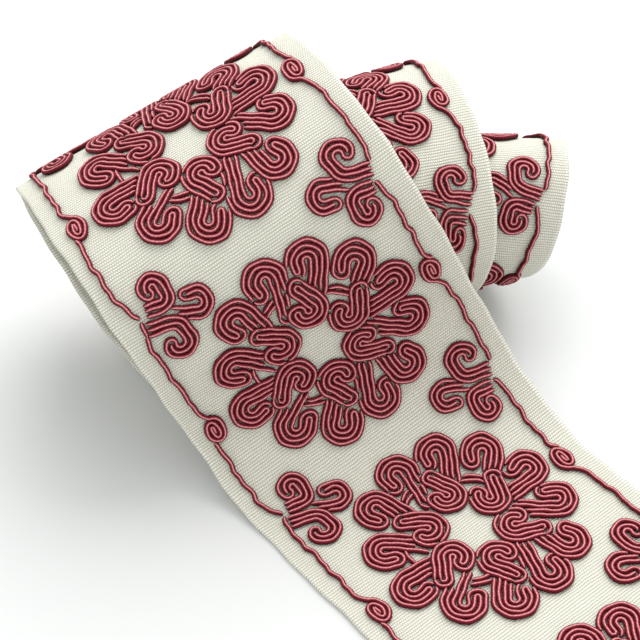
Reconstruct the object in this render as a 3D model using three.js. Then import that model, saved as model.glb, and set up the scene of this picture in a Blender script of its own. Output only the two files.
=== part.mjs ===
// A loosely rolled length of linen braid: one woven tape with looped red cord laid on its outer face.
// Millimetres, +Z up. The loose end lies flat on z = 0 and points to -Y, and the roll lies behind it.
import * as THREE from 'three';

// The woven tape
const WIDTH = 110;
const THICKNESS = 1.2;
const LOOSE_LENGTH = 148;
const ROLLED_LENGTH = 744;
const STEP = 4;
const LINE_PASSES = 16;

// The raised cord work, measured outwards from the face of the tape
const CORD_GAP = 0.55;
const CORD_TOP = 2.1;
const FACET_ERROR = 0.25;
const ARC_STEPS = { outerPetal: 3, innerPetal: 3, sprigLobe: 4 };

// One row for each place where the bend of the tape changes.
// at is the distance along the middle of the tape from the front of the ramp.
// bend is in degrees for each centimetre, and positive away from the embroidered face.
// skew is how far the straight line across the tape runs forward for each unit to the left.
const SECTIONS = [
  { place: 'loose end', at: -148, bend: 0, skew: 0 },
  { place: 'loose end', at: -60, bend: 0, skew: 0 },
  { place: 'front of the ramp', at: 0, bend: 0, skew: 0.36 },
  { place: 'foot of the ramp', at: 25, bend: -15, skew: 0.44 },
  { place: 'foot of the ramp', at: 50, bend: -14, skew: 0.36 },
  { place: 'ramp', at: 80, bend: -1, skew: 0.22 },
  { place: 'ramp', at: 110, bend: 10, skew: 0.14 },
  { place: 'swelling of the ramp', at: 140, bend: 14, skew: 0.04 },
  { place: 'flatter stretch', at: 170, bend: 4.5, skew: 0.04 },
  { place: 'below the first crest', at: 200, bend: 12.5, skew: 0.08 },
  { place: 'first crest', at: 225, bend: 19, skew: 0.02 },
  { place: 'behind the first crest', at: 250, bend: 11.5, skew: -0.1 },
  { place: 'first back', at: 285, bend: 8, skew: -0.34 },
  { place: 'first underside', at: 325, bend: 9.5, skew: -0.22 },
  { place: 'second front, low', at: 365, bend: 18.5, skew: -0.14 },
  { place: 'second front', at: 405, bend: 13.5, skew: -0.22 },
  { place: 'second front, high', at: 445, bend: 7, skew: -0.08 },
  { place: 'second crest', at: 485, bend: 19.5, skew: -0.1 },
  { place: 'second back', at: 525, bend: 16, skew: -0.08 },
  { place: 'second underside', at: 565, bend: 8.5, skew: -0.04 },
  { place: 'third front, low', at: 605, bend: 25, skew: -0.28 },
  { place: 'third front', at: 645, bend: 14, skew: -0.28 },
  { place: 'third crest', at: 685, bend: 25.5, skew: -0.1 },
  { place: 'inner end', at: 744, bend: 24, skew: 0 },
];

// The cord work repeats along the tape, a little looser or tighter from place to place.
// repeat counts wreaths from the one at the front of the ramp, and at is where it lies on the tape.
const REPEAT = 91;
const END_MARGIN = 3;
const SPACING = [
  { repeat: -2, at: -189.9 },
  { repeat: 2, at: 169.5 },
  { repeat: 4.5, at: 425.2 },
  { repeat: 5, at: 461.5 },
  { repeat: 7.5, at: 667.5 },
  { repeat: 8.5, at: 744 },
];

// The wreath: a ring of outer petals, with inner petals that point into an open middle
const OUTER_PETALS = { count: 12, first: 12, reach: 31.8, radius: 9.2, spread: 78, waist: 34.6 };
const INNER_PETALS = { count: 6, first: 30, reach: 16.5, radius: 6.8, spread: 66, waist: 19.5 };

// The sprig: three petals and a short stem around a core, for the right-hand edge of the tape
const SPRIG_CORE = { along: 2, out: 37 };
const SPRIG_WAIST = 5.2;
const SPRIG_HALF_LENGTH = 20;
const SPRIG_LOBES = [
  { angle: -8, reach: 11.1, radius: 6.6, spread: 105 },
  { angle: 87, reach: 10.5, radius: 6.4, spread: 105 },
  { angle: 172, reach: 10.6, radius: 6.6, spread: 105 },
  { angle: 255, reach: 7.7, radius: 2.2, spread: 80 },
];

// The vine along each edge, from one sprig to the next, with its oval bud.
// sprig and bud are places along a repeat, out is the distance from the middle of the tape.
const VINE_WIDTH = 2;
const VINE_CLEARANCE = 2.8;
const VINE_STEP = 7;
const BUD = { halfLength: 6.3, halfHeight: 3.7 };
const BUD_COLUMNS = [-1, -0.75, -0.35, 0, 0.35, 0.75, 1];
const EDGES = {
  right: { side: -1, sprig: 41.5, bud: 93.5, budOut: 44.9, out: 46.6, sway: 1.2 },
  left: { side: 1, sprig: 45.5, bud: 85.5, budOut: 46.6, out: 48.2, sway: 0.7 },
};

const LINEN = new THREE.MeshStandardMaterial({ color: 0xe2ddd0, roughness: 0.95, metalness: 0 });
const CRIMSON_CORD = new THREE.MeshStandardMaterial({ color: 0x9c3444, roughness: 0.8, metalness: 0 });

const radians = THREE.MathUtils.degToRad;

// Reads one column of a table by straight lines between its rows, and past its ends.
function readTable(rows, from, to, value) {
  let i = 1;
  while (i < rows.length - 1 && rows[i][from] < value) i += 1;
  const a = rows[i - 1];
  const b = rows[i];
  return a[to] + ((b[to] - a[to]) * (value - a[from])) / (b[from] - a[from]);
}

const bendAt = (u) => radians(readTable(SECTIONS, 'at', 'bend', u)) / 10;
const skewAt = (u) => readTable(SECTIONS, 'at', 'skew', u);

// Walks along the middle of the tape and bends its frame about the straight line across it.
// forward, left and normal are the frame's axes, and across runs along that straight line.
function walkTape() {
  const point = new THREE.Vector3(0, -LOOSE_LENGTH, THICKNESS);
  const forward = new THREE.Vector3(0, 1, 0);
  const left = new THREE.Vector3(-1, 0, 0);
  const normal = new THREE.Vector3(0, 0, 1);
  const stations = [];
  const record = (u) => {
    const across = left.clone().addScaledVector(forward, skewAt(u));
    stations.push({ u, point: point.clone(), across, normal: normal.clone() });
  };
  const bendBy = (angle, skew) => {
    const axis = left.clone().addScaledVector(forward, skew).normalize();
    for (const direction of [forward, left, normal]) direction.applyAxisAngle(axis, angle);
  };
  const steps = (LOOSE_LENGTH + ROLLED_LENGTH) / STEP;
  for (let i = 0; i < steps; i += 1) {
    const u = -LOOSE_LENGTH + i * STEP;
    record(u);
    const half = ((bendAt(u) + bendAt(u + STEP)) / 2) * (STEP / 2);
    const skew = (skewAt(u) + skewAt(u + STEP)) / 2;
    bendBy(half, skew);
    point.addScaledVector(forward, STEP);
    bendBy(half, skew);
  }
  record(ROLLED_LENGTH);
  return stations;
}

const STATIONS = walkTape();

// Where the straight line across the tape through a flat point crosses the middle of the tape.
// Each pass comes nearer to it.
function lineThrough(x, v) {
  let u = x;
  for (let pass = 0; pass < LINE_PASSES; pass += 1) u = x - skewAt(u) * v;
  return u;
}

// The point of the tape that lies x along and v to the left when the tape is flat, raised by height.
function onTape(x, v, height) {
  const place = (lineThrough(x, v) + LOOSE_LENGTH) / STEP;
  const index = THREE.MathUtils.clamp(Math.floor(place), 0, STATIONS.length - 2);
  const a = STATIONS[index];
  const b = STATIONS[index + 1];
  const f = place - index;
  const across = a.across.clone().lerp(b.across, f);
  const normal = a.normal.clone().lerp(b.normal, f);
  const point = a.point.clone().lerp(b.point, f);
  return point.addScaledVector(across, v).addScaledVector(normal, height);
}

function solidFrom(points, triangles) {
  const geometry = new THREE.BufferGeometry();
  const numbers = points.flatMap((p) => p.toArray());
  geometry.setAttribute('position', new THREE.Float32BufferAttribute(numbers, 3));
  geometry.setIndex(triangles.flat());
  geometry.computeVertexNormals();
  return geometry;
}

// The tape is one strip: at each station the four corners of its cross-section.
function tapeGeometry() {
  const points = [];
  const triangles = [];
  const half = WIDTH / 2;
  const corners = [[half, 0], [-half, 0], [-half, -THICKNESS], [half, -THICKNESS]];
  for (const { point, across, normal } of STATIONS) {
    for (const [v, height] of corners) {
      points.push(point.clone().addScaledVector(across, v).addScaledVector(normal, height));
    }
  }
  for (let i = 0; i < STATIONS.length - 1; i += 1) {
    for (let k = 0; k < 4; k += 1) {
      const a = 4 * i + k;
      const b = 4 * i + ((k + 1) % 4);
      triangles.push([a, b, b + 4], [a, b + 4, a + 4]);
    }
  }
  const last = 4 * (STATIONS.length - 1);
  triangles.push([0, 2, 1], [0, 3, 2]);
  triangles.push([last, last + 1, last + 2], [last, last + 2, last + 3]);
  return solidFrom(points, triangles);
}

// Where a place in the drawn pattern lies on the flat tape, and the other way round.
const alongTape = (patternX) => readTable(SPACING, 'repeat', 'at', patternX / REPEAT);
const drawnPlace = (x) => readTable(SPACING, 'at', 'repeat', x) * REPEAT;
const PATTERN_START = drawnPlace(END_MARGIN - LOOSE_LENGTH);
const PATTERN_END = drawnPlace(ROLLED_LENGTH - END_MARGIN);
const FIRST_REPEAT = -2;
const REPEAT_COUNT = 12;
const REPEATS = Array.from({ length: REPEAT_COUNT }, (_, i) => FIRST_REPEAT + i);

const edgeKey = (a, b) => (a < b ? `${a},${b}` : `${b},${a}`);

// Cuts a triangle at each of its edges that has a middle point, the longest of them first.
function cutAtMiddles([a, b, c], middles) {
  const sides = [[a, b, c], [b, c, a], [c, a, b]].filter(([p, q]) => middles.has(edgeKey(p, q)));
  if (sides.length === 0) return [[a, b, c]];
  const span = ([p, q]) => middles.get(edgeKey(p, q)).span;
  const [p, q, r] = sides.reduce((best, side) => (span(side) > span(best) ? side : best));
  const m = middles.get(edgeKey(p, q)).index;
  return [...cutAtMiddles([p, m, r], middles), ...cutAtMiddles([m, q, r], middles)];
}

// How far the middle of a straight edge lies from the bent tape.
function facetError(from, to) {
  return ((to - from) ** 2 * Math.abs(bendAt((from + to) / 2))) / 8;
}

// Halves every edge that cuts too deep across the bend, until none does.
function refine({ points, triangles }) {
  const lines = points.map((p) => lineThrough(p.x, p.y));
  for (;;) {
    const middles = new Map();
    for (const [a, b, c] of triangles) {
      for (const [p, q] of [[a, b], [b, c], [c, a]]) {
        if (facetError(lines[p], lines[q]) > FACET_ERROR && !middles.has(edgeKey(p, q))) {
          const middle = points[p].clone().lerp(points[q], 0.5);
          const span = Math.abs(lines[p] - lines[q]);
          middles.set(edgeKey(p, q), { index: points.push(middle) - 1, span });
          lines.push(lineThrough(middle.x, middle.y));
        }
      }
    }
    if (middles.size === 0) return { points, triangles };
    triangles = triangles.flatMap((triangle) => cutAtMiddles(triangle, middles));
  }
}

// Fills an outline that is seen whole from its centre with a fan of triangles.
function fillStar(outline, centre) {
  const last = outline.length;
  const triangles = outline.map((_, i) => [i, (i + 1) % last, last]);
  return { points: [...outline, centre], triangles };
}

// Fills the ring between two outlines that are both seen whole from the origin.
function fillRing(outer, inner) {
  const turnOf = (p) => (Math.atan2(p.y, p.x) + 2 * Math.PI) % (2 * Math.PI);
  const byTurn = (outline) => [...outline].sort((p, q) => turnOf(p) - turnOf(q));
  const [outside, inside] = [byTurn(outer), byTurn(inner)];
  const turnAt = (outline, k) => (
    turnOf(outline[k % outline.length]) + (k < outline.length ? 0 : 2 * Math.PI));
  const triangles = [];
  let i = 0;
  let j = 0;
  while (i < outside.length || j < inside.length) {
    const a = i % outside.length;
    const b = outside.length + (j % inside.length);
    const outsideNext = turnAt(outside, i + 1) < turnAt(inside, j + 1);
    if (j === inside.length || (i < outside.length && outsideNext)) {
      i += 1;
      triangles.push([a, i % outside.length, b]);
    } else {
      j += 1;
      triangles.push([outside.length + (j % inside.length), b, a]);
    }
  }
  return { points: [...outside, ...inside], triangles };
}

// Raises a flat piece of the pattern into a closed solid that follows the tape.
function raise(flat) {
  const count = flat.points.length;
  const bottom = flat.points.map((p) => onTape(p.x, p.y, CORD_GAP));
  const top = flat.points.map((p) => onTape(p.x, p.y, CORD_TOP));
  const triangles = [];
  const open = new Map();
  for (const [a, b, c] of flat.triangles) {
    triangles.push([a + count, b + count, c + count], [c, b, a]);
    for (const [p, q] of [[a, b], [b, c], [c, a]]) {
      if (!open.delete(`${q},${p}`)) open.set(`${p},${q}`, [p, q]);
    }
  }
  for (const [p, q] of open.values()) triangles.push([p, q, q + count], [p, q + count, p + count]);
  return solidFrom([...bottom, ...top], triangles);
}

// The outline around a ring of round lobes, with one point at the waist between two neighbours.
// Lobes that face inwards bound a hole.
function lobedOutline(lobes, waist, arcSteps, inwards) {
  const outline = [];
  lobes.forEach((lobe, i) => {
    const lobeAt = radians(lobe.angle);
    const centre = new THREE.Vector2(Math.cos(lobeAt), Math.sin(lobeAt)).multiplyScalar(lobe.reach);
    for (let k = 0; k <= arcSteps; k += 1) {
      const turn = lobe.spread * ((2 * k) / arcSteps - 1);
      const heading = radians(lobe.angle + (inwards ? 180 - turn : turn));
      const spoke = new THREE.Vector2(Math.cos(heading), Math.sin(heading));
      outline.push(spoke.multiplyScalar(lobe.radius).add(centre));
    }
    const next = lobes[(i + 1) % lobes.length].angle + (i === lobes.length - 1 ? 360 : 0);
    const middle = radians((lobe.angle + next) / 2);
    outline.push(new THREE.Vector2(Math.cos(middle), Math.sin(middle)).multiplyScalar(waist));
  });
  return outline;
}

function ringOfLobes({ count, first, reach, radius, spread }) {
  const angles = Array.from({ length: count }, (_, i) => first + (360 / count) * i);
  return angles.map((angle) => ({ angle, reach, radius, spread }));
}

// Moves drawn points to their place on the flat tape. A turn of -1 turns them half round.
function place({ points, triangles }, patternX, turn, centreV) {
  const moved = points.map((p) => (
    new THREE.Vector2(alongTape(patternX + turn * p.x), turn * (p.y + centreV))));
  return { points: moved, triangles };
}

function wreathGeometry(repeat) {
  const [outerRow, innerRow] = [OUTER_PETALS, INNER_PETALS];
  const outer = lobedOutline(ringOfLobes(outerRow), outerRow.waist, ARC_STEPS.outerPetal, false);
  const inner = lobedOutline(ringOfLobes(innerRow), innerRow.waist, ARC_STEPS.innerPetal, true);
  return raise(refine(place(fillRing(outer, inner), repeat * REPEAT, 1, 0)));
}

function sprigGeometry(repeat, edge) {
  const turn = -edge.side;
  const outline = lobedOutline(SPRIG_LOBES, SPRIG_WAIST, ARC_STEPS.sprigLobe, false);
  const flat = fillStar(outline, new THREE.Vector2());
  const core = repeat * REPEAT + edge.sprig + turn * SPRIG_CORE.along;
  return raise(refine(place(flat, core, turn, -SPRIG_CORE.out)));
}

// The vine runs in columns between its two sprigs, and swells around the bud.
function vineGeometry(from, to, edge) {
  const columns = [];
  const budAt = Math.round((from - edge.bud) / REPEAT + 0.5) * REPEAT + edge.bud;
  const stops = new Set([from, to]);
  for (let s = from; s < to - VINE_STEP / 2; s += VINE_STEP) stops.add(s);
  for (const part of BUD_COLUMNS) stops.add(budAt + part * BUD.halfLength);
  for (const s of [...stops].filter((stop) => stop >= from && stop <= to).sort((a, b) => a - b)) {
    const wave = Math.sin((2 * Math.PI * (s - edge.sprig)) / REPEAT);
    const middle = edge.out + edge.sway * wave;
    const part = Math.min(1, Math.abs(s - budAt) / BUD.halfLength);
    const swell = BUD.halfHeight * Math.sqrt(1 - part * part);
    const inside = Math.min(middle - VINE_WIDTH / 2, edge.budOut - swell);
    const outside = Math.max(middle + VINE_WIDTH / 2, part < 1 ? edge.budOut + swell : 0);
    columns.push([s, inside, outside]);
  }
  const points = columns.flatMap(([s, inside, outside]) => (
    [inside, outside].map((out) => new THREE.Vector2(alongTape(s), edge.side * out))));
  const triangles = [];
  for (let i = 0; i < columns.length - 1; i += 1) {
    const [a, b, c, d] = [2 * i, 2 * i + 1, 2 * i + 3, 2 * i + 2];
    triangles.push(...(edge.side < 0 ? [[a, b, c], [a, c, d]] : [[a, c, b], [a, d, c]]));
  }
  return raise({ points, triangles });
}

function named(name, geometry, material) {
  const mesh = new THREE.Mesh(geometry, material);
  mesh.name = name;
  return mesh;
}

// The repeats whose motif at this drawn place lies whole between the two ends of the tape.
function wholeRepeats(drawnAt, half) {
  return REPEATS.filter((repeat) => {
    const middle = repeat * REPEAT + drawnAt;
    return middle - half > PATTERN_START && middle + half < PATTERN_END;
  });
}

function wreaths() {
  const half = OUTER_PETALS.reach + OUTER_PETALS.radius;
  return wholeRepeats(0, half).map((repeat, i) => (
    named(`wreath_${i + 1}`, wreathGeometry(repeat), CRIMSON_CORD)));
}

// The sprigs of one edge, and the runs of vine before, between and after them
function edgeWork(name, edge) {
  const whole = wholeRepeats(edge.sprig, SPRIG_HALF_LENGTH);
  const sprigs = whole.map((repeat, i) => (
    named(`sprig_${name}_${i + 1}`, sprigGeometry(repeat, edge), CRIMSON_CORD)));
  const places = whole.map((repeat) => repeat * REPEAT + edge.sprig);
  const starts = [PATTERN_START, ...places.map((at) => at + VINE_CLEARANCE)];
  const ends = [...places.map((at) => at - VINE_CLEARANCE), PATTERN_END];
  const vines = starts.map((start, i) => (
    named(`vine_${name}_${i + 1}`, vineGeometry(start, ends[i], edge), CRIMSON_CORD)));
  return [...sprigs, ...vines];
}

// The origin is under the middle of the whole part.
const roll = new THREE.Group();
roll.add(named('linen_tape', tapeGeometry(), LINEN), ...wreaths());
for (const [name, edge] of Object.entries(EDGES)) roll.add(...edgeWork(name, edge));
const middle = new THREE.Box3().setFromObject(roll).getCenter(new THREE.Vector3());
roll.position.set(-middle.x, -middle.y, 0);

export default roll;
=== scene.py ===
# A loosely rolled length of linen braid, with looped crimson cord sewn down on its outer face.
# The tape and its cords are drawn flat in millimetres, and on_tape puts them in the frame in metres.
import math

import bpy
import numpy as np
from mathutils import Matrix, Vector
from mathutils.kdtree import KDTree


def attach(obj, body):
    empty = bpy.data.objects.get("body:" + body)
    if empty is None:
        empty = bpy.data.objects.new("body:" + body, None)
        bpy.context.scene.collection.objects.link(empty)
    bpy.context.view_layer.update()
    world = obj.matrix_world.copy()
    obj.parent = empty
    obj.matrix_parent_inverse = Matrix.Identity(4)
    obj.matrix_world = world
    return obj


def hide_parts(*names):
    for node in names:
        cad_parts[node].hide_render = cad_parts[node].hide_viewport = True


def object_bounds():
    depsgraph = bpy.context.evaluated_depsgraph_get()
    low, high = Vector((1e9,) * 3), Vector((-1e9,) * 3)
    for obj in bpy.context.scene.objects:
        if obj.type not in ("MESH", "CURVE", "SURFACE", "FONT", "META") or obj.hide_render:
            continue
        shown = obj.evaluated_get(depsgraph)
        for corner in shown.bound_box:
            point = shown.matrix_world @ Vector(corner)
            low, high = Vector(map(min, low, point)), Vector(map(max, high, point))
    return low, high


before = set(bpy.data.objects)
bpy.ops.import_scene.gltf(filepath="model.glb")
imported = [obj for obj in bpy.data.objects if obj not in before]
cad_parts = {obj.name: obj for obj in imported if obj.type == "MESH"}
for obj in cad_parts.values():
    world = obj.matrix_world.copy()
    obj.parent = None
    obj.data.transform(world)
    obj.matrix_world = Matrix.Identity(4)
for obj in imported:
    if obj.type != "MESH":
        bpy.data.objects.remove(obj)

CAD_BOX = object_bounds()
MM = 0.001

# The woven tape, with the sizes and the bends of the solids
WIDTH = 110.0
LOOSE_LENGTH = 148.0
ROLLED_LENGTH = 744.0
STEP = 4.0
SOLID_THICKNESS = 1.2
LINE_PASSES = 16
SECTIONS = [
    # place along the tape, bend in degrees for each centimetre, skew of the straight line across
    (-148, 0, 0),
    (-60, 0, 0),
    (0, 0, 0.36),
    (25, -15, 0.44),
    (50, -14, 0.36),
    (80, -1, 0.22),
    (110, 10, 0.14),
    (140, 14, 0.04),
    (170, 4.5, 0.04),
    (200, 12.5, 0.08),
    (225, 19, 0.02),
    (250, 11.5, -0.1),
    (285, 8, -0.34),
    (325, 9.5, -0.22),
    (365, 18.5, -0.14),
    (405, 13.5, -0.22),
    (445, 7, -0.08),
    (485, 19.5, -0.1),
    (525, 16, -0.08),
    (565, 8.5, -0.04),
    (605, 25, -0.28),
    (645, 14, -0.28),
    (685, 25.5, -0.1),
    (744, 24, 0),
]

# The drawn cloth: its two faces measured from the solid's outer face, and the size of its mesh
LINEN_TOP = -0.15
LINEN_UNDERSIDE = -1.15
LINEN_CELL = 1.6

# How the repeats of the cord work are spaced along the tape: repeat, place
REPEAT = 91.0
REPEATS = range(-2, 10)
END_MARGIN = 3.0
SPACING = [(-2, -189.9), (2, 169.5), (4.5, 425.2), (5, 461.5), (7.5, 667.5), (8.5, 744)]

# The cord. Its ends narrow to CORD_END of its thickness.
CORD_RADIUS = 0.93
CORD_SIDES = 8
CORD_STEP = 1.0
CORD_PITCH = 1.9
CORD_END = 0.55

# Drawing the cord's lines. ROUND_DETAIL adds points in round stretches, and SHORTEST_RUN is the least
# straight run between two stops. A cord ends at its first point that is nearer than TUCK_DISTANCE to one
# that is already laid, and a free stretch of fewer points than SHORTEST_CORD is left out.
ROUND_DETAIL = 1.3
SHORTEST_RUN = 0.001
TUCK_DISTANCE = 1.45
SHORTEST_CORD = 4

# The wreath. A hook is a band of parallel cords that leaves its root, passes round a circle and closes.
# angle and reach place the circle's centre, and lean turns the hook about it.
WREATH_HALF = 41.0
OUTER_HOOKS = [
    {"angle": 101, "reach": 32.3, "lean": -4},
    {"angle": 68, "reach": 31.0, "lean": -14},
    {"angle": 36, "reach": 33.5, "lean": -14},
    {"angle": 8, "reach": 34.0, "lean": -10},
    {"angle": -19, "reach": 33.3, "lean": -4},
    {"angle": -48, "reach": 32.6, "lean": 10},
    {"angle": -77, "reach": 32.6, "lean": 0},
    {"angle": -107, "reach": 31.6, "lean": -16},
    {"angle": -140, "reach": 32.6, "lean": -22},
    {"angle": -167, "reach": 31.6, "lean": -20},
    {"angle": 164, "reach": 32.0, "lean": -16},
    {"angle": 133, "reach": 31.0, "lean": 0},
]
INNER_HOOKS = [
    {"angle": 112, "reach": 14.3, "lean": 20},
    {"angle": 52, "reach": 15.0, "lean": -8},
    {"angle": -9, "reach": 16.2, "lean": 20},
    {"angle": -66, "reach": 15.0, "lean": 30},
    {"angle": -124, "reach": 14.5, "lean": 0},
    {"angle": 173, "reach": 15.0, "lean": 20},
]
OUTER_SHAPE = {"cords": 4, "radius": 4.4, "turn": 1, "root": 15.5, "root_side": 1.2, "close": 3.2}
INNER_SHAPE = {"cords": 4, "radius": 3.95, "turn": -1, "root": 9.0, "root_side": 2.2, "close": 1.5}
WREATH_INSET = 0.4

# The waved rings of cord that join the wreath's hooks
JOINING_RINGS = (20.4, 22.3, 24.2, 26.1)
RING_WAVE = 0.7
RING_WAVES = 6

# The sprig's three hooks around its core. The circles that each passes round are (x, y, radius).
SPRIG_HALF_LENGTH = 20.0
SPRIG_CORE = {"along": 2.0, "out": 37.0}
SPRIG_CORDS = 3
SPRIG_INSET = 0.3
SPRIG_HOOKS = [
    {"root": (1.8, -8.6), "circles": [(7.6, -2.2, 3.7), (11.6, -1.6, 3.6)], "turn": -1, "close": 0.6},
    {"root": (-3.7, -6.0), "circles": [(-5.3, 0.2, 3.0), (-9.0, 0.6, 3.0)], "turn": 1, "close": 1.2},
    {"root": (0.9, -1.0), "circles": [(2.9, 9.8, 3.7)], "turn": 1, "close": 2.8},
]

# The vine. sprig and bud are places along a repeat, out is the distance from the middle of the tape.
EDGES = {
    "right": {"side": -1, "sprig": 41.5, "bud": 93.5, "bud_out": 44.9, "out": 46.6, "sway": 1.2},
    "left": {"side": 1, "sprig": 45.5, "bud": 85.5, "bud_out": 46.6, "out": 48.2, "sway": 0.7},
}
VINE_RADIUS = 0.9
VINE_TUCK_DISTANCE = 1.0
VINE_CELL = 2.5
VINE_GAP = 0.5
VINE_KINK = 2.6
VINE_KINK_LENGTH = 4.5

# The bud: an oval coil that winds inwards by BUD_PITCH in each turn, which has BUD_POINTS points
BUD_HALF_LENGTH = 5.6
BUD_HALF_HEIGHT = 3.9
BUD_LEAST_HEIGHT = 0.25
BUD_TURNS = 2.45
BUD_POINTS = 26
BUD_START = math.radians(170)
BUD_PITCH = 0.92 * CORD_PITCH

# How the vine meets the bud, with places measured along the vine from the bud's middle. The vine leaves
# its own line at BUD_LEAVE and passes BUD_ENTRY on the way into the coil. It comes out of the coil at the
# point BUD_COIL_EXIT, passes BUD_EXIT and is back on its own line at BUD_JOIN. BUD_ENTRY and BUD_EXIT are
# (place, rise over the vine's own line), and that line's height is read at BUD_NEAR.
BUD_LEAVE = 9.0
BUD_ENTRY = (8.2, 0.6)
BUD_COIL_EXIT = (4.4, -2.3)
BUD_EXIT = (7.6, 0.2)
BUD_NEAR = 8.0
BUD_JOIN = 12.0

# Unevenness. A wave is (size, radians for each mm, start). For a piece's cords, the start is multiplied
# by the cord's number in the piece. Sizes are in mm, but CORD_SWELL's is a share of the cord's thickness.
EDGE_WAVES = [(0.22, 1 / 6.3, 0), (0.16, 1 / 2.9, 1)]
VINE_WAVES = [(0.3, 0.53, 0), (0.25, 0.97, 1)]
CORD_SWAY = (0.12, 0.9, 1.3)
CORD_SLOW_SWAY = (0.08, 0.41, 2.1)
CORD_RISE = (0.05, 0.7, 1)
CORD_SWELL = (0.05, 1.9, 0.7)

# The waves that make a ripple over the flat tape: radians for each mm along and across, start, size
RIPPLES = [
    (0.11, 0.07, 0, 1 / 2),
    (0.05, -0.13, 2.3, 1 / 3),
    (-0.19, 0.17, 4.6, 1 / 4),
    (0.31, 0.23, 6.9, 1 / 5),
]
RIPPLE_SEED = 1.7
CORD_WANDER = 0.35
ACROSS_SEED = 5

# The cloth's unevenness: size, stretch of the ripple along and across, seed
UNEVEN = [(0.10, 1.0, 1.0, 3), (0.05, 3.1, 2.7, 8)]

# Where the seeds of the sprigs and of the vines begin
SPRIG_SEED = 20
VINE_SEED = 40


def wave(at, kind, number=1, start=0):
    size, rate, first = kind
    return size * np.sin(rate * at + first * number + start)


def ripple(x, v, seed):
    total = 0.0
    for along, across, start, size in RIPPLES:
        total = total + size * np.sin(along * x + across * v + start + RIPPLE_SEED * seed)
    return total


def normalised(vectors):
    return vectors / np.linalg.norm(vectors, axis=-1, keepdims=True)


# The tape's shape

def read_table(rows, column, value):
    """A column of a table at value, by straight lines between its rows and past its ends."""
    value = np.asarray(value, float)
    at = np.array([row[0] for row in rows], float)
    found = np.array([row[column] for row in rows], float)
    i = np.clip(np.searchsorted(at, value, side="left"), 1, len(rows) - 1)
    share = (value - at[i - 1]) / (at[i] - at[i - 1])
    return found[i - 1] + share * (found[i] - found[i - 1])


def bend_at(u):
    return np.radians(read_table(SECTIONS, 1, u)) / 10


def skew_at(u):
    return read_table(SECTIONS, 2, u)


def walk_tape():
    """Walks along the middle of the tape and bends its frame about the straight line across it."""
    count = round((LOOSE_LENGTH + ROLLED_LENGTH) / STEP)
    u = -LOOSE_LENGTH + STEP * np.arange(count + 1)
    bends, skews = bend_at(u), skew_at(u)
    point = Vector((0, -LOOSE_LENGTH, SOLID_THICKNESS))
    axes = [Vector((0, 1, 0)), Vector((-1, 0, 0)), Vector((0, 0, 1))]
    points, frames = [point.copy()], [[axis.copy() for axis in axes]]
    for i in range(count):
        half = float(bends[i] + bends[i + 1]) / 2 * (STEP / 2)
        skew = float(skews[i] + skews[i + 1]) / 2
        for move in (STEP, 0):
            turn = Matrix.Rotation(half, 3, (axes[1] + skew * axes[0]).normalized())
            axes = [turn @ axis for axis in axes]
            point = point + move * axes[0]
        points.append(point.copy())
        frames.append([axis.copy() for axis in axes])
    return np.array(points), np.array(frames), skews


WALK_POINTS, WALK_FRAMES, WALK_SKEWS = walk_tape()


def line_through(x, v):
    """Where the straight line across the tape through a flat point crosses the middle of the tape."""
    u = np.array(x, float)
    for _ in range(LINE_PASSES):
        u = x - skew_at(u) * v
    return u


def on_walk(x, v, height):
    """Where flat points lie in the walk, and the tape's normal there.
    A point is x along the tape and v to the left of its middle, raised by height."""
    place = (line_through(x, v) + LOOSE_LENGTH) / STEP
    i = np.clip(np.floor(place).astype(int), 0, len(WALK_POINTS) - 2)
    f = (place - i)[..., None]
    start, end = WALK_POINTS[i], WALK_POINTS[i + 1]
    leave, arrive = STEP * WALK_FRAMES[i, 0], STEP * WALK_FRAMES[i + 1, 0]
    middle = (
        (2 * f**3 - 3 * f**2 + 1) * start
        + (f**3 - 2 * f**2 + f) * leave
        + (3 * f**2 - 2 * f**3) * end
        + (f**3 - f**2) * arrive
    )
    turned = normalised(WALK_FRAMES[i] * (1 - f[..., None]) + WALK_FRAMES[i + 1] * f[..., None])
    skew = (WALK_SKEWS[i] * (1 - f[..., 0]) + WALK_SKEWS[i + 1] * f[..., 0])[..., None]
    across = turned[..., 1, :] + skew * turned[..., 0, :]
    normal = turned[..., 2, :]
    return middle + np.asarray(v)[..., None] * across + np.asarray(height)[..., None] * normal, normal


def lowest_corner():
    """The lowest x, y and z that the edges of the solid tape reach in the walk."""
    u = STEP * np.arange(len(WALK_POINTS)) - LOOSE_LENGTH
    lows = []
    for v in (-WIDTH / 2, WIDTH / 2):
        for height in (0, -SOLID_THICKNESS):
            points, _ = on_walk(u + WALK_SKEWS * v, v, height)
            lows.append(points.min(axis=0))
    return np.min(lows, axis=0)


# From the walk to the frame of the solids: the tape's edges are what reaches the box's lowest corner
SHIFT = np.array(CAD_BOX[0]) / MM - lowest_corner()


def on_tape(x, v, height):
    """As on_walk, in metres in the frame of the solids."""
    x, v, height = np.broadcast_arrays(*[np.asarray(values, float) for values in (x, v, height)])
    point, normal = on_walk(x, v, height)
    return (point + SHIFT) * MM, normal


def along_tape(pattern_x):
    return read_table(SPACING, 1, np.asarray(pattern_x, float) / REPEAT)


def drawn_place(x):
    return float(read_table([(at, repeat) for repeat, at in SPACING], 1, x)) * REPEAT


PATTERN_START = drawn_place(END_MARGIN - LOOSE_LENGTH)
PATTERN_END = drawn_place(ROLLED_LENGTH - END_MARGIN)


# Drawing a band of cords

def unit(angle):
    return np.array([math.cos(angle), math.sin(angle)])


def left_of(direction):
    return np.array([-direction[1], direction[0]])


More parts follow.
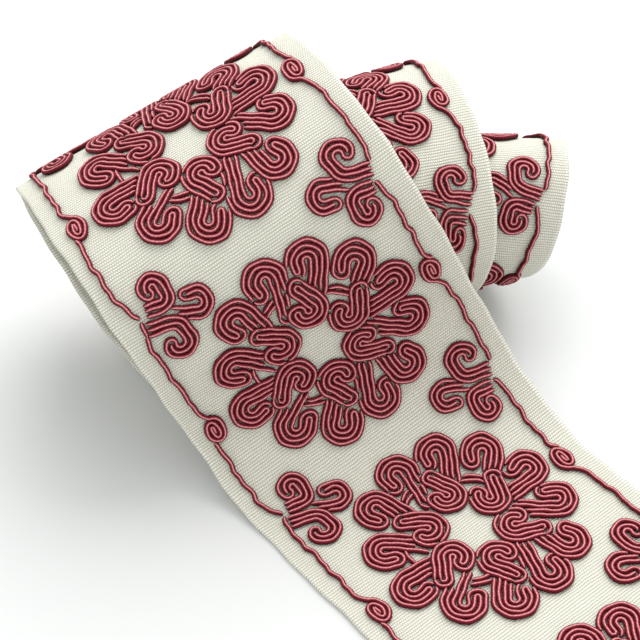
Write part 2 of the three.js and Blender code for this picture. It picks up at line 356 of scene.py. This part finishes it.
def belt(stops):
    """The line from the first stop to the last that passes round each circle between, on its own side.
    A stop is (centre, radius, turn), with turn 1 to the left. Returns points and headings."""
    legs = []
    for (a, ra, ta), (b, rb, tb) in zip(stops, stops[1:]):
        gap = b - a
        offset = tb * rb - ta * ra
        run = math.sqrt(max(gap @ gap - offset**2, SHORTEST_RUN**2))
        heading = math.atan2(gap[1], gap[0]) - math.atan2(offset, run)
        left = unit(heading + math.pi / 2)
        legs.append((heading, a - ta * ra * left, b - tb * rb * left))
    points, headings = [], []
    for i, (heading, start, end) in enumerate(legs):
        steps = max(1, round(np.linalg.norm(end - start) / CORD_STEP))
        points += [start + (end - start) * j / steps for j in range(steps)]
        headings += [heading] * steps
        if i + 1 < len(legs):
            centre, radius, turn = stops[i + 1]
            sweep = (turn * (legs[i + 1][0] - heading)) % (2 * math.pi)
            steps = max(1, round(sweep * radius / CORD_STEP * ROUND_DETAIL))
            for j in range(steps):
                now = heading + turn * sweep * j / steps
                points.append(centre - turn * radius * unit(now + math.pi / 2))
                headings.append(now)
    points.append(legs[-1][2])
    headings.append(legs[-1][0])
    return np.array(points), np.array(headings)


def cap(point, heading, offset):
    """Half a turn from the left of a point round to its right."""
    steps = max(3, round(math.pi * offset / CORD_STEP * ROUND_DETAIL))
    return [point + offset * unit(heading + math.pi / 2 - math.pi * j / steps) for j in range(1, steps)]


def cords_along(points, headings, count, closed):
    """Parallel cords along a line. Each pair joins round the line's end, and if closed, its start."""
    left = np.stack([-np.sin(headings), np.cos(headings)], axis=1)
    cords = []
    for k in range(count // 2):
        offset = CORD_PITCH * (k + (0.5 if count % 2 == 0 else 1.0))
        out = points + offset * left
        back = (points - offset * left)[::-1]
        first_cap = [*cap(points[0], headings[0] + math.pi, offset), out[0]] if closed else []
        cords.append(np.array([*out, *cap(points[-1], headings[-1], offset), *back, *first_cap]))
    if count % 2:
        cords.append(points)
    return cords


def hook(root, circles, turn, end, count, closed):
    """Cords that leave root, pass round circles of (centre, radius) and close at end."""
    stops = [(root, 0, 1), *[(centre, radius, turn) for centre, radius in circles], (end, 0, 1)]
    return cords_along(*belt(stops), count, closed)


def closing_point(centre, radius, turn, out, close, inset):
    """Where a hook closes: beside its circle's centre and close back from it, against out."""
    return centre - close * out + turn * (radius - inset) * left_of(out)


def tuck(bands, laid=(), distance=TUCK_DISTANCE):
    """Ends each cord where it would run over one that is already laid, so that it seems to pass under."""
    laid = [np.asarray(points) for points in laid]
    kept = []
    for band in bands:
        tree = None
        if laid:
            flat = np.concatenate(laid)
            tree = KDTree(len(flat))
            for i, point in enumerate(flat):
                tree.insert((*point, 0), i)
            tree.balance()
        fresh = []
        for cord in band:
            free = [tree is None or tree.find((*point, 0))[2] > distance for point in cord]
            start = None
            for i, is_free in enumerate([*free, False]):
                if is_free and start is None:
                    start = i
                if not is_free and start is not None:
                    if i - start >= SHORTEST_CORD:
                        fresh.append(cord[max(0, start - 1): i + 1])
                    start = None
        laid += fresh
        kept += fresh
    return kept


# Drawing the wreath, the sprig and the vine

def wreath_hook(row, shape, inwards):
    centre = row["reach"] * unit(math.radians(row["angle"]))
    out = unit(math.radians(row["angle"] + row["lean"]) + (math.pi if inwards else 0))
    radius, turn = shape["radius"], shape["turn"]
    root = centre - shape["root"] * out - turn * shape["root_side"] * left_of(out)
    end = closing_point(centre, radius, turn, out, shape["close"], WREATH_INSET)
    return hook(root, [(centre, radius)], turn, end, shape["cords"], True)


def wreath_cords():
    """The hooks, and the rings where they show between the hooks' roots."""
    inner = [wreath_hook(row, INNER_SHAPE, True) for row in INNER_HOOKS]
    outer = [wreath_hook(row, OUTER_SHAPE, False) for row in OUTER_HOOKS]
    rings = []
    for radius in JOINING_RINGS:
        steps = round(2 * math.pi * radius / CORD_STEP)
        angles = 2 * math.pi * np.arange(steps + 1) / steps
        reach = radius + RING_WAVE * np.sin(RING_WAVES * angles)
        rings.append([np.stack([reach * np.cos(angles), reach * np.sin(angles)], axis=1)])
    return tuck(inner + outer + rings)


def sprig_cords():
    bands = []
    for row in SPRIG_HOOKS:
        circles = [(np.array([x, y]), radius) for x, y, radius in row["circles"]]
        centre, radius = circles[-1]
        end = closing_point(centre, radius, row["turn"], normalised(centre), row["close"], SPRIG_INSET)
        bands.append(hook(np.array(row["root"]), circles, row["turn"], end, SPRIG_CORDS, False))
    return tuck(bands)


def smooth_line(points, step):
    """A smooth line through a few points, by Catmull-Rom pieces."""
    points = np.array(points, float)
    padded = np.concatenate([[2 * points[0] - points[1]], points, [2 * points[-1] - points[-2]]])
    line = []
    for i in range(len(points) - 1):
        a, b, c, d = padded[i: i + 4]
        steps = max(1, round(np.linalg.norm(c - b) / step))
        for j in range(steps):
            t = j / steps
            square = (2 * a - 5 * b + 4 * c - d) * t**2
            cube = (3 * b - a - 3 * c + d) * t**3
            line.append((2 * b + (c - a) * t + square + cube) / 2)
    line.append(points[-1])
    return np.array(line)


def bud_coil():
    """The bud's coil from outside in, around the bud's middle."""
    coil = []
    for j in range(round(BUD_TURNS * BUD_POINTS) + 1):
        angle = BUD_START - 2 * math.pi * j / BUD_POINTS
        inward = BUD_PITCH * j / BUD_POINTS
        height = max(BUD_HALF_HEIGHT - inward, BUD_LEAST_HEIGHT)
        coil.append(((BUD_HALF_LENGTH - inward) * math.cos(angle), height * math.sin(angle)))
    return coil


def vine_cords(start, end, edge):
    """One run of vine between two sprigs, in the drawn pattern: the cord into its bud, and the cord on.
    Inside, t runs along the vine from the bud's middle, in the direction in which the cord winds in."""
    turn = -edge["side"]
    bud = round((start - edge["bud"]) / REPEAT + 0.5) * REPEAT + edge["bud"]
    low, high = sorted([turn * (start - bud), turn * (end - bud)])

    def vine_y(t):
        from_sprig = bud + turn * t - edge["sprig"]
        nearest = from_sprig - round(from_sprig / REPEAT) * REPEAT
        sway = edge["sway"] * math.sin(2 * math.pi * from_sprig / REPEAT)
        wobble = sum(wave(from_sprig, kind) for kind in VINE_WAVES)
        kink = VINE_KINK * math.exp(-((nearest / VINE_KINK_LENGTH) ** 2))
        return edge["bud_out"] - edge["out"] - sway + wobble + kink

    coil = bud_coil()
    before = [(t, vine_y(t)) for t in np.arange(low, -BUD_LEAVE, VINE_CELL)]
    entry = (-BUD_ENTRY[0], vine_y(-BUD_NEAR) + BUD_ENTRY[1])
    into = np.concatenate([smooth_line([*before, entry, coil[0]], CORD_STEP)[:-1], coil])
    leave = (BUD_EXIT[0], vine_y(BUD_NEAR) + BUD_EXIT[1])
    after = [(t, vine_y(t)) for t in [*np.arange(BUD_JOIN, high - 1, VINE_CELL), high]]
    onward = smooth_line([BUD_COIL_EXIT, leave, *after], CORD_STEP)
    return place([into, onward], bud, turn, -edge["bud_out"])


def place(cords, pattern_x, turn, centre_v):
    """Moves drawn cords to their place in the pattern. A turn of -1 turns them half round."""
    return [np.stack([pattern_x + turn * c[:, 0], turn * (c[:, 1] + centre_v)], axis=1) for c in cords]


# Making meshes

def resample(line, step):
    """The same line with points a step apart, and how far along it they lie."""
    length = np.concatenate([[0], np.cumsum(np.linalg.norm(np.diff(line, axis=0), axis=1))])
    count = max(2, round(length[-1] / step))
    at = np.linspace(0, length[-1], count + 1)
    return np.stack([np.interp(at, length, line[:, k]) for k in range(line.shape[1])], axis=1), at


def mesh_object(name, points, faces, map_name, corner_places):
    """A mesh object. corner_places holds the map's place of each corner of each face, in order."""
    mesh = bpy.data.meshes.new(name)
    mesh.from_pydata(points.tolist(), [], faces)
    layer = mesh.uv_layers.new(name=map_name)
    layer.uv.foreach_set("vector", np.asarray(corner_places, np.float32).ravel())
    mesh.polygons.foreach_set("use_smooth", [True] * len(mesh.polygons))
    mesh.update()
    obj = bpy.data.objects.new(name, mesh)
    bpy.context.scene.collection.objects.link(obj)
    return obj


def tube_points(line, number, seed, radius):
    """The points round one cord of a piece, ring after ring, and how far along it each ring lies."""
    line, at = resample(line, CORD_STEP)
    tangent = normalised(np.gradient(line, axis=0))
    sway = wave(at, CORD_SWAY, number, seed) + wave(at, CORD_SLOW_SWAY, number)
    line = line + sway[:, None] * np.stack([-tangent[:, 1], tangent[:, 0]], axis=1)
    x = along_tape(line[:, 0]) + CORD_WANDER * ripple(line[:, 0], line[:, 1], seed)
    v = line[:, 1] + CORD_WANDER * ripple(line[:, 0], line[:, 1], seed + ACROSS_SEED)
    centre, normal = on_tape(x, v, LINEN_TOP + radius + wave(at, CORD_RISE, number))
    forward = normalised(np.gradient(centre, axis=0))
    side = normalised(np.cross(normal, forward))
    up = np.cross(forward, side)
    thick = radius * MM * (1 + wave(at, CORD_SWELL, number, seed))
    thick[[0, -1]] *= CORD_END
    angles = 2 * math.pi * np.arange(CORD_SIDES) / CORD_SIDES
    rings = (
        centre[:, None]
        + (thick[:, None] * np.cos(angles))[..., None] * side[:, None]
        + (thick[:, None] * np.sin(angles))[..., None] * up[:, None]
    )
    return rings.reshape(-1, 3), at


def tube_faces(base, at):
    """The faces of a closed tube whose points start at base, and the map's places of their corners.
    A place is how far along the cord and what share of the way round it."""
    faces, places = [], []
    for i in range(len(at) - 1):
        ring = base + i * CORD_SIDES
        for k in range(CORD_SIDES):
            a, b = ring + k, ring + (k + 1) % CORD_SIDES
            faces.append((a, b, b + CORD_SIDES, a + CORD_SIDES))
            low, high = k / CORD_SIDES, (k + 1) / CORD_SIDES
            places += [(at[i], low), (at[i], high), (at[i + 1], high), (at[i + 1], low)]
    last = base + (len(at) - 1) * CORD_SIDES
    faces.append(tuple(base + k for k in reversed(range(CORD_SIDES))))
    faces.append(tuple(last + k for k in range(CORD_SIDES)))
    places += [(at[0], 0)] * CORD_SIDES + [(at[-1], 0)] * CORD_SIDES
    return faces, places


def cord_object(name, drawn, seed, radius):
    """Round cords along lines of the drawn pattern, laid on the tape, with closed and narrowed ends."""
    points, faces, places = [], [], []
    base = 0
    for number, line in enumerate(drawn):
        tube, at = tube_points(line, number, seed, radius)
        tube_sides, tube_places = tube_faces(base, at)
        points.append(tube)
        faces += tube_sides
        places += tube_places
        base += len(tube)
    return mesh_object(name, np.concatenate(points), faces, "cord", places)


def linen_object():
    """The tape as a thin closed sheet, a little uneven, with its flat place kept in a map."""
    rows = round((LOOSE_LENGTH + ROLLED_LENGTH) / LINEN_CELL)
    columns = round(WIDTH / LINEN_CELL)
    half = WIDTH / 2
    x, v = np.meshgrid(
        np.linspace(-LOOSE_LENGTH, ROLLED_LENGTH, rows + 1),
        np.linspace(half, -half, columns + 1),
        indexing="ij",
    )
    # The fourth power keeps the edge's waves near the edge
    edge = sum(wave(x, kind) for kind in EDGE_WAVES)
    wide = v * (1 + edge / half * (v / half) ** 4)
    uneven = sum(size * ripple(along * x, across * v, seed) for size, along, across, seed in UNEVEN)
    top, _ = on_tape(x, wide, LINEN_TOP + uneven)
    underside, _ = on_tape(x, wide, LINEN_UNDERSIDE + np.maximum(uneven, 0))
    points = np.concatenate([top.reshape(-1, 3), underside.reshape(-1, 3)])
    count = x.size
    index = np.arange(count).reshape(rows + 1, columns + 1)
    a, b = index[:-1, :-1].ravel(), index[:-1, 1:].ravel()
    c, d = index[1:, 1:].ravel(), index[1:, :-1].ravel()
    upper = np.stack([a, b, c, d], axis=1)
    lower = np.stack([d, c, b, a], axis=1) + count
    rim = np.concatenate([index[:, 0], index[-1, 1:], index[-2::-1, -1], index[0, -2:0:-1]])
    following = np.roll(rim, -1)
    sides = np.stack([rim, following, following + count, rim + count], axis=1)
    faces = np.concatenate([upper, lower, sides])
    flat = np.stack([x, v], axis=-1).reshape(-1, 2)
    return mesh_object("linen", points, faces.tolist(), "cloth", flat[faces.ravel() % count])


# Materials

class Nodes:
    """A short way to write a material's nodes."""

    def __init__(self, name):
        self.material = bpy.data.materials.new(name)
        self.material.use_nodes = True
        self.tree = self.material.node_tree
        self.shader = self.tree.nodes["Principled BSDF"]

    def add(self, kind, **values):
        node = self.tree.nodes.new(kind)
        for key, value in values.items():
            setattr(node, key, value)
        return node

    def feed(self, socket, value):
        if isinstance(value, bpy.types.NodeSocket):
            self.tree.links.new(value, socket)
        else:
            socket.default_value = value

    def math(self, operation, *inputs):
        node = self.add("ShaderNodeMath", operation=operation)
        for socket, value in zip(node.inputs, inputs):
            self.feed(socket, value)
        return node.outputs[0]

    def scaled(self, value, factor):
        return self.math("MULTIPLY", value, factor)

    def map_axes(self, map_name):
        found = self.add("ShaderNodeUVMap", uv_map=map_name)
        parts = self.add("ShaderNodeSeparateXYZ")
        self.feed(parts.inputs[0], found.outputs[0])
        return parts.outputs[0], parts.outputs[1]

    def vector(self, x, y, z=0.0):
        node = self.add("ShaderNodeCombineXYZ")
        for socket, value in zip(node.inputs, (x, y, z)):
            self.feed(socket, value)
        return node.outputs[0]

    def noise(self, place, scale, detail=2.0):
        node = self.add("ShaderNodeTexNoise")
        self.feed(node.inputs["Vector"], place)
        self.feed(node.inputs["Scale"], scale)
        self.feed(node.inputs["Detail"], detail)
        return node.outputs["Fac"]

    def mix(self, share, a, b):
        """A colour between a and b."""
        node = self.add("ShaderNodeMix", data_type="RGBA")
        self.feed(node.inputs[0], share)
        self.feed(node.inputs[6], a)
        self.feed(node.inputs[7], b)
        return node.outputs[2]

    def choose(self, share, a, b):
        """A number between a and b."""
        node = self.add("ShaderNodeMix", data_type="FLOAT")
        self.feed(node.inputs[0], share)
        self.feed(node.inputs[2], a)
        self.feed(node.inputs[3], b)
        return node.outputs[0]

    def bump(self, height, distance):
        node = self.add("ShaderNodeBump")
        self.feed(node.inputs["Distance"], distance)
        self.feed(node.inputs["Height"], height)
        return node.outputs[0]


# The weave, in mm: rows of weft that drift a little, and warp that steps half a thread at each row.
# EVEN_ROWS keeps the rows' numbers positive. WEAVE_DEPTH is in metres, as the bump node takes it.
WEFT_PITCH = 1.05
WARP_PITCH = 0.85
WEFT_DRIFT = 1.2
DRIFT_SCALE = 0.12
EVEN_ROWS = 1000.0
WEFT_ROUNDNESS = 0.8
WARP_SHARE = 0.65
SELVEDGE_START = 53.8
SLUB_LONG = 0.12
SLUB_SHORT = 1.4
SLUB_DETAIL = 3.0
WEAVE_DEPTH = 0.00022
# Painted shade in the gaps between threads: how it follows the weave's height, and its dark colour.
GAP_SHADE_POWER = 0.7
PAINTED_GAP_SHADE = (0.36, 0.37, 0.28, 1)
THREAD_COLOURS = (0.72, 0.705, 0.60, 1), (0.97, 0.955, 0.87, 1)


def linen_material():
    """Plain weave of off-white thread, uneven in thickness and tone, with ribbed woven edges and painted
    shade in the gaps between threads.
    """
    n = Nodes("linen_weave")
    x, v = n.map_axes("cloth")
    drift = n.scaled(n.math("SUBTRACT", n.noise(n.vector(x, v), DRIFT_SCALE), 0.5), WEFT_DRIFT)
    row = n.math("DIVIDE", n.math("ADD", x, drift), WEFT_PITCH)
    odd = n.math("MODULO", n.math("ADD", n.math("FLOOR", row), EVEN_ROWS), 2.0)
    column = n.math("MULTIPLY_ADD", odd, 0.5, n.math("DIVIDE", v, WARP_PITCH))
    weft = n.math("POWER", n.math("ABSOLUTE", n.math("SINE", n.scaled(row, math.pi))), WEFT_ROUNDNESS)
    warp = n.math("ABSOLUTE", n.math("SINE", n.scaled(column, math.pi)))
    woven = n.math("MULTIPLY", weft, n.math("MULTIPLY_ADD", warp, WARP_SHARE, 1 - WARP_SHARE))
    selvedge = n.math("GREATER_THAN", n.math("ABSOLUTE", v), SELVEDGE_START)
    height = n.choose(selvedge, woven, weft)
    weft_slub = n.noise(n.vector(n.scaled(x, SLUB_LONG), n.scaled(v, SLUB_SHORT)), 1.0, SLUB_DETAIL)
    warp_slub = n.noise(n.vector(n.scaled(x, SLUB_SHORT), n.scaled(v, SLUB_LONG)), 1.0, SLUB_DETAIL)
    thread = n.mix(n.scaled(n.math("ADD", weft_slub, warp_slub), 0.5), *THREAD_COLOURS)
    # Painted shade: the colour darkens towards the gap colour where the weave's height is low, between
    # threads.
    colour = n.mix(n.math("POWER", height, GAP_SHADE_POWER), PAINTED_GAP_SHADE, thread)
    n.feed(n.shader.inputs["Base Color"], colour)
    n.shader.inputs["Roughness"].default_value = 0.95
    n.shader.inputs["Specular IOR Level"].default_value = 0.15
    n.shader.inputs["Sheen Weight"].default_value = 0.15
    n.feed(n.shader.inputs["Normal"], n.bump(height, WEAVE_DEPTH))
    return n.material


# The cord's look: painted shade darkens its sides, a redder body, and a narrow painted highlight runs
# along its top, speckled by its plies and fibres.
# FIBRE_STRETCH scales the twist, the way round and the way along. PLY_DEPTH is in metres.
PLY_LENGTH = 1.5
PLY_DEPTH = 0.0001
FIBRE_STRETCH = (2.2, 9.0, 0.25)
FIBRE_SCALE = 2.0
FIBRE_DETAIL = 3.0
FIBRE_DEPTH = 1.2
PATCH_SCALE = 0.35
# Painted shade: how fast, and to what dark colour, the cord darkens towards its sides.
PAINTED_SHADE_POWER = 2.0
PAINTED_SHADE_COLOUR = (0.022, 0.0006, 0.002, 1)
BODY_COLOURS = (0.155, 0.0045, 0.014, 1), (0.235, 0.008, 0.022, 1)
# Painted highlight: how narrow the pale line along the cord's top is, its colour, and how plies and
# fibres speckle it.
PAINTED_HIGHLIGHT_POWER = 60.0
PAINTED_HIGHLIGHT_COLOUR = (0.98, 0.42, 0.43, 1)
HIGHLIGHT_PLY = 0.25
HIGHLIGHT_FIBRE = 2.4
HIGHLIGHT_LOSS = -0.55


def cord_material():
    """Crimson cord of two twisted plies, with painted shade at its sides and a painted highlight along
    its top.
    """
    n = Nodes("crimson_cord")
    along, around = n.map_axes("cord")
    phase = n.math("MULTIPLY_ADD", along, math.pi / PLY_LENGTH, n.scaled(around, 2 * math.pi))
    ply = n.math("ABSOLUTE", n.math("SINE", phase))
    stretched = [n.scaled(axis, by) for axis, by in zip((phase, around, along), FIBRE_STRETCH)]
    fibre = n.noise(n.vector(*stretched), FIBRE_SCALE, FIBRE_DETAIL)
    patch = n.noise(n.vector(along, 0.0), PATCH_SCALE)
    # Painted light: 1 on the cord's top and 0 underneath; it places both the painted highlight and the
    # painted shade.
    painted_light_share = n.math("MULTIPLY_ADD", n.math("SINE", n.scaled(around, 2 * math.pi)), 0.5, 0.5)
    fibre_highlight_speckle = n.math("MULTIPLY_ADD", fibre, HIGHLIGHT_FIBRE, HIGHLIGHT_LOSS)
    highlight_speckle = n.math("MULTIPLY_ADD", ply, HIGHLIGHT_PLY, fibre_highlight_speckle)
    # Painted highlight: a narrow pale line along the cord's top, speckled by plies and fibres.
    painted_highlight = n.math("MULTIPLY", n.math("POWER", painted_light_share, PAINTED_HIGHLIGHT_POWER), highlight_speckle)
    # Painted shade: the body darkens towards the cord's sides, where neighbouring cords meet.
    base = n.mix(n.math("POWER", painted_light_share, PAINTED_SHADE_POWER), PAINTED_SHADE_COLOUR, n.mix(patch, *BODY_COLOURS))
    n.feed(n.shader.inputs["Base Color"], n.mix(painted_highlight, base, PAINTED_HIGHLIGHT_COLOUR))
    n.shader.inputs["Roughness"].default_value = 0.72
    n.shader.inputs["Specular IOR Level"].default_value = 0.2
    n.shader.inputs["Sheen Weight"].default_value = 0.05
    n.shader.inputs["Sheen Roughness"].default_value = 0.4
    n.shader.inputs["Sheen Tint"].default_value = (0.95, 0.45, 0.5, 1)
    relief = n.math("MULTIPLY_ADD", fibre, FIBRE_DEPTH, ply)
    n.feed(n.shader.inputs["Normal"], n.bump(relief, PLY_DEPTH))
    return n.material


# The floor, the lights and the camera

FLOOR_COLOUR = (0.72, 0.735, 0.725, 1)
FLOOR_HALF = 4.0
FLOOR_DROP = 0.0003
WORLD_STRENGTH = 1.0
KEY = {"place": (0.85, 0.6, 1.15), "target": (0, 0.05, 0), "size": 1.5, "power": 24}


def floor():
    material = bpy.data.materials.new("floor")
    material.use_nodes = True
    shader = material.node_tree.nodes["Principled BSDF"]
    shader.inputs["Base Color"].default_value = FLOOR_COLOUR
    shader.inputs["Roughness"].default_value = 0.9
    mesh = bpy.data.meshes.new("floor")
    corners = [(FLOOR_HALF * x, FLOOR_HALF * y, 0) for x, y in [(-1, -1), (1, -1), (1, 1), (-1, 1)]]
    mesh.from_pydata(corners, [], [(0, 1, 2, 3)])
    mesh.materials.append(material)
    obj = bpy.data.objects.new("floor", mesh)
    bpy.context.scene.collection.objects.link(obj)
    obj.location.z = -FLOOR_DROP


def key_light():
    data = bpy.data.lights.new("key", "AREA")
    data.size = KEY["size"]
    data.energy = KEY["power"]
    obj = bpy.data.objects.new("key", data)
    bpy.context.scene.collection.objects.link(obj)
    obj.location = KEY["place"]
    aim = Vector(KEY["target"]) - Vector(KEY["place"])
    obj.rotation_euler = aim.to_track_quat("-Z", "Y").to_euler()


def lights():
    world = bpy.data.worlds.new("studio")
    world.use_nodes = True
    world.node_tree.nodes["Background"].inputs["Color"].default_value = (1, 1, 1, 1)
    world.node_tree.nodes["Background"].inputs["Strength"].default_value = WORLD_STRENGTH
    bpy.context.scene.world = world
    key_light()
    bpy.context.scene.view_settings.view_transform = "Standard"


# The camera at the photograph's angle, from the front left. LOOK_AT is a place in the walk, in mm,
# and the angles are in radians. FOCAL_PIXELS is the focal length in pixels of the photograph.
LOOK_AT = (23.47, 99.47, 1.2)
LOOK_TURN = 0.9043
LOOK_DOWN = 0.7987
CAMERA_ROLL = -0.027
CAMERA_DISTANCE = 705.9
FOCAL_PIXELS = 1885.0
IMAGE_PIXELS = 640.0
SENSOR = 36.0


def camera():
    flat = Vector((math.cos(LOOK_TURN), math.sin(LOOK_TURN), 0))
    forward = flat * math.cos(LOOK_DOWN) - Vector((0, 0, math.sin(LOOK_DOWN)))
    right = Vector((flat.y, -flat.x, 0))
    up = right.cross(forward)
    turned_right = math.cos(CAMERA_ROLL) * right + math.sin(CAMERA_ROLL) * up
    turned_up = -math.sin(CAMERA_ROLL) * right + math.cos(CAMERA_ROLL) * up
    data = bpy.data.cameras.new("camera")
    data.sensor_width = SENSOR
    data.lens = FOCAL_PIXELS / IMAGE_PIXELS * SENSOR
    obj = bpy.data.objects.new("camera", data)
    bpy.context.scene.collection.objects.link(obj)
    stand = (Vector(LOOK_AT) + Vector(SHIFT) - CAMERA_DISTANCE * forward) * MM
    turn = Matrix((turned_right, turned_up, -forward)).transposed()
    obj.matrix_world = Matrix.Translation(stand) @ turn.to_4x4()
    bpy.context.scene.camera = obj


# The pieces

def whole_repeats(drawn_at, half):
    """The repeats in which a motif at drawn_at, with half its length to each side, lies on the tape."""
    middles = [(repeat, repeat * REPEAT + drawn_at) for repeat in REPEATS]
    return [r for r, at in middles if at - half > PATTERN_START and at + half < PATTERN_END]


def dress(obj, material, node):
    obj.data.materials.append(material)
    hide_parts(node)
    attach(obj, "root")
    return obj


def cord_pieces(material):
    pieces = []

    def add(name, drawn, seed, node, radius=CORD_RADIUS):
        pieces.append(dress(cord_object(name, drawn, seed, radius), material, node))

    wreath = wreath_cords()
    for i, repeat in enumerate(whole_repeats(0, WREATH_HALF)):
        add(f"wreath_cord_{i + 1}", place(wreath, repeat * REPEAT, 1, 0), repeat, f"wreath_{i + 1}")
    sprig = sprig_cords()
    for name, edge in EDGES.items():
        turn = -edge["side"]
        whole = whole_repeats(edge["sprig"], SPRIG_HALF_LENGTH)
        stems = [repeat * REPEAT + edge["sprig"] for repeat in whole]
        sprigs = []
        for i, (repeat, stem) in enumerate(zip(whole, stems)):
            drawn = place(sprig, stem + turn * SPRIG_CORE["along"], turn, -SPRIG_CORE["out"])
            sprigs += drawn
            add(f"sprig_cord_{name}_{i + 1}", drawn, repeat + SPRIG_SEED, f"sprig_{name}_{i + 1}")
        starts = [PATTERN_START, *[stem + VINE_GAP for stem in stems]]
        ends = [*[stem - VINE_GAP for stem in stems], PATTERN_END]
        for i, (start, end) in enumerate(zip(starts, ends)):
            drawn = tuck([[line] for line in vine_cords(start, end, edge)], sprigs, VINE_TUCK_DISTANCE)
            add(f"vine_cord_{name}_{i + 1}", drawn, i + VINE_SEED, f"vine_{name}_{i + 1}", VINE_RADIUS)
    return pieces


floor()
lights()
camera()
linen = dress(linen_object(), linen_material(), "linen_tape")
cords = cord_pieces(cord_material())
